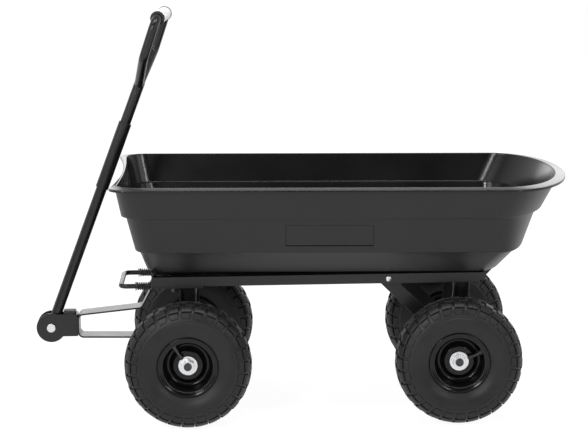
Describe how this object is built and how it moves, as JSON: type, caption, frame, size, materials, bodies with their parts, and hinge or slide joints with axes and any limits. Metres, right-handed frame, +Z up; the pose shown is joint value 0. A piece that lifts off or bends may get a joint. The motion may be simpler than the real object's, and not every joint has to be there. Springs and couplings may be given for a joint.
{
  "type": "tipping garden cart",
  "caption": "Four-wheeled garden cart with a stepped poly tray that tips over its rear hinge, a steered front axle and a folding pull handle.",
  "frame": {"origin": "centre of the bounding box on the ground", "axes": "+X to the tipping lip at the rear, -X to the handle, +Y to the cart's right, +Z up"},
  "size_m": [1.1128, 0.515, 0.836],
  "materials": {
    "tray_poly": "satin moulded polyethylene",
    "tyre_rubber": "matte rubber",
    "gloss_black_paint": "gloss",
    "frame_paint": "satin powder coat",
    "zinc_steel": "bright zinc",
    "axle_steel": "satin",
    "grip_rubber": "light grey matte",
    "black_rubber": "matte"
  },
  "bodies": {
    "chassis": {"axle_rear": "axle_steel", "beam_rear": "frame_paint", "brace_bolt_left": "zinc_steel", "brace_bolt_right": "zinc_steel", "brace_left": "frame_paint", "brace_right": "frame_paint", "cross_rear": "frame_paint", "front_plate": "frame_paint", "head_plate": "frame_paint", "hinge_rod": "frame_paint", "kingpin": "zinc_steel", "leg_rear_left": "frame_paint", "leg_rear_right": "frame_paint", "nut_rear_left": "zinc_steel", "nut_rear_right": "zinc_steel", "rail_left": "frame_paint", "rail_right": "frame_paint", "thrust_washer": "zinc_steel"},
    "steering": {"axle_front": "axle_steel", "beam_front": "frame_paint", "clevis": "frame_paint", "clevis_pin": "zinc_steel", "drawbar_strap": "frame_paint", "handle_stop": "black_rubber", "head_beam": "frame_paint", "leg_front_left": "frame_paint", "leg_front_right": "frame_paint", "nut_front_left": "zinc_steel", "nut_front_right": "zinc_steel"},
    "handle": {"grip": "grip_rubber", "grip_ring_left": "black_rubber", "grip_ring_right": "black_rubber", "handle_loop": "frame_paint", "handle_sleeve": "frame_paint", "handle_tube": "frame_paint"},
    "tray": {"hinge_bracket_left": "frame_paint", "hinge_bracket_right": "frame_paint", "tray": "tray_poly"},
    "latch": {"latch_bar": "frame_paint"},
    "wheel_front_left": {"hub_front_left": "axle_steel", "rim_front_left": "gloss_black_paint", "tyre_front_left": "tyre_rubber"},
    "wheel_front_right": {"hub_front_right": "axle_steel", "rim_front_right": "gloss_black_paint", "tyre_front_right": "tyre_rubber"},
    "wheel_rear_left": {"hub_rear_left": "axle_steel", "rim_rear_left": "gloss_black_paint", "tyre_rear_left": "tyre_rubber"},
    "wheel_rear_right": {"hub_rear_right": "axle_steel", "rim_rear_right": "gloss_black_paint", "tyre_rear_right": "tyre_rubber"}
  },
  "joints": [
    {"name": "steer", "type": "hinge", "parent": "chassis", "child": "steering", "pos_m": [-0.25739, 0, 0.26], "axis": [0, 0, 1], "range_deg": [-20, 20]},
    {"name": "handle_fold", "type": "hinge", "parent": "steering", "child": "handle", "pos_m": [-0.52539, 0, 0.168], "axis": [0, -1, 0], "range_deg": [0, 118]},
    {"name": "tray_tip", "type": "hinge", "parent": "chassis", "child": "tray", "pos_m": [0.37361, 0, 0.289], "axis": [0, 1, 0], "range_deg": [0, 78]},
    {"name": "latch_push", "type": "slide", "parent": "chassis", "child": "latch", "axis": [1, 0, 0], "range_m": [0, 0.012], "stiffness_N_per_m": 800},
    {"name": "roll_front_left", "type": "hinge", "parent": "steering", "child": "wheel_front_left", "pos_m": [-0.23239, -0.215, 0.13], "axis": [0, 1, 0], "continuous": true},
    {"name": "roll_front_right", "type": "hinge", "parent": "steering", "child": "wheel_front_right", "pos_m": [-0.23239, 0.215, 0.13], "axis": [0, 1, 0], "continuous": true},
    {"name": "roll_rear_left", "type": "hinge", "parent": "chassis", "child": "wheel_rear_left", "pos_m": [0.31861, -0.215, 0.13], "axis": [0, 1, 0], "continuous": true},
    {"name": "roll_rear_right", "type": "hinge", "parent": "chassis", "child": "wheel_rear_right", "pos_m": [0.31861, 0.215, 0.13], "axis": [0, 1, 0], "continuous": true}
  ]
}
